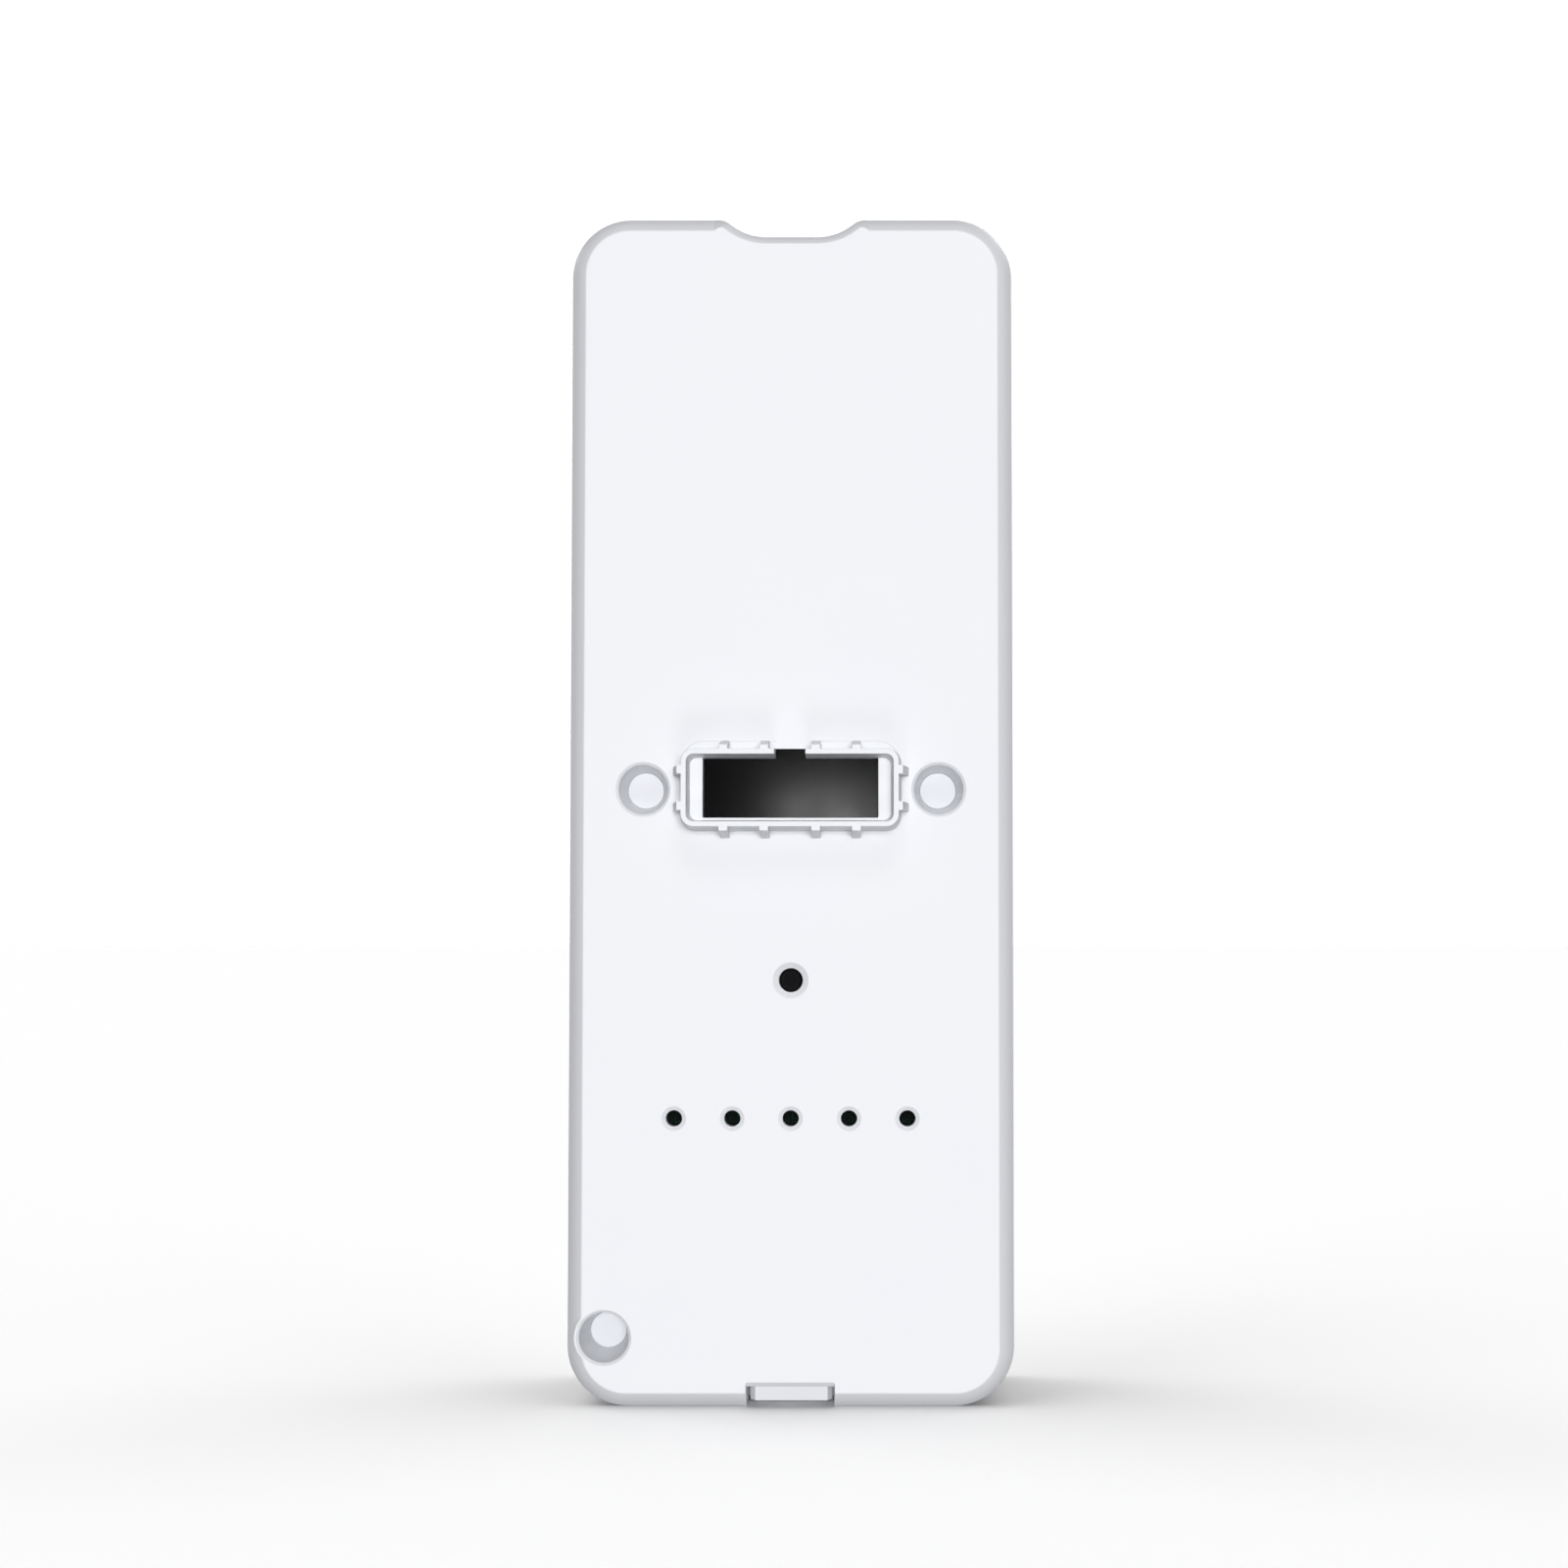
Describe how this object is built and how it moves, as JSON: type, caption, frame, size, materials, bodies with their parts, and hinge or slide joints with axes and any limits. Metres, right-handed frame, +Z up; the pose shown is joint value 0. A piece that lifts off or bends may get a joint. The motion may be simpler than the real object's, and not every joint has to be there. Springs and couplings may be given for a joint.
{
  "type": "video doorbell",
  "caption": "Slim upright wired video doorbell: white two-part shell with a dip in its top edge, ribbed wiring collar, sockets and holes at the back, lens and push button in front.",
  "frame": {"origin": "middle of the whole box, at the lower end that it stands on", "axes": "+Z up along the housing, +Y out of the wall side, -Y out of the front with lens and button"},
  "size_m": [0.0486, 0.0278, 0.13],
  "materials": {
    "white_shell": "satin, fine mould texture",
    "white_small": "satin",
    "black_cover": "fine grained matte",
    "black_panel": "gloss",
    "black_plastic": "matte",
    "dark_mesh": "woven acoustic mesh",
    "rubber": "matte",
    "foam": "closed cell foam",
    "steel": "bright zinc",
    "spring_steel": "drawn wire",
    "glass": "clear coated",
    "lens_glass": "coated",
    "filter_glass": "coated filter",
    "button_face": "satin",
    "light_guide": "frosted",
    "board": "solder resist",
    "component": "moulded epoxy",
    "tin": "tinned sheet",
    "copper": "copper",
    "polyimide": "polyimide film",
    "cell_wrap": "laminated foil",
    "contact_gold": "gold plated",
    "led_dark": "tinted epoxy",
    "connector": "nylon"
  },
  "bodies": {
    "housing": {"rear_housing": "white_shell", "front_housing": "white_shell", "front_panel": "black_panel", "panel_tape": "foam", "housing_gasket": "rubber", "housing_screws": "steel", "screw_plugs": "white_small", "terminal_cover": "black_cover", "terminal_block": "black_plastic", "terminal_screws": "steel", "vent_mesh": "dark_mesh", "tamper_spring": "spring_steel", "tamper_switch": "component", "catch_spring": "spring_steel", "lens_bezel": "black_plastic", "lens_window": "glass", "lens_barrel": "black_plastic", "lens_glass": "lens_glass", "camera_holder": "black_plastic", "ir_cut_actuator": "copper", "image_sensor": "component", "camera_board": "board", "camera_screws": "steel", "camera_connector": "connector", "ir_leds": "led_dark", "light_pipe": "light_guide", "light_sensor": "component", "button_light_ring": "light_guide", "button_spring": "spring_steel", "button_switch": "component", "button_board": "board", "button_board_screws": "steel", "ring_leds": "connector", "button_flex": "polyimide", "main_board": "board", "main_board_screws": "steel", "board_chips": "component", "shield_can": "tin", "power_parts": "component", "backup_cell": "cell_wrap", "cell_pad": "foam", "wifi_antenna": "polyimide", "speaker_frame": "black_plastic", "speaker_cone": "black_plastic", "speaker_magnet": "steel", "speaker_gasket": "foam", "speaker_contacts": "contact_gold", "speaker_mesh": "dark_mesh", "microphone": "contact_gold", "mic_boot": "rubber"},
    "button": {"button_cap": "button_face", "switch_plunger": "connector"},
    "tamper": {"tamper_plunger": "black_plastic"},
    "catch": {"release_catch": "white_small"},
    "filter": {"ir_cut_filter": "filter_glass"}
  },
  "joints": [
    {"name": "button_press", "type": "slide", "parent": "housing", "child": "button", "axis": [0, 1, 0], "range_m": [0, 0.0008], "stiffness_N_per_m": 1500, "springref_m": -0.0006, "deforming": ["button_spring"]},
    {"name": "tamper_press", "type": "slide", "parent": "housing", "child": "tamper", "axis": [0, -1, 0], "range_m": [0, 0.001], "stiffness_N_per_m": 300, "springref_m": -0.001, "deforming": ["tamper_spring"]},
    {"name": "catch_release", "type": "slide", "parent": "housing", "child": "catch", "axis": [0, 0, 1], "range_m": [0, 0.0015], "stiffness_N_per_m": 400, "springref_m": -0.001, "deforming": ["catch_spring"]},
    {"name": "filter_shift", "type": "slide", "parent": "housing", "child": "filter", "axis": [1, 0, 0], "range_m": [0, 0.0052]}
  ]
}
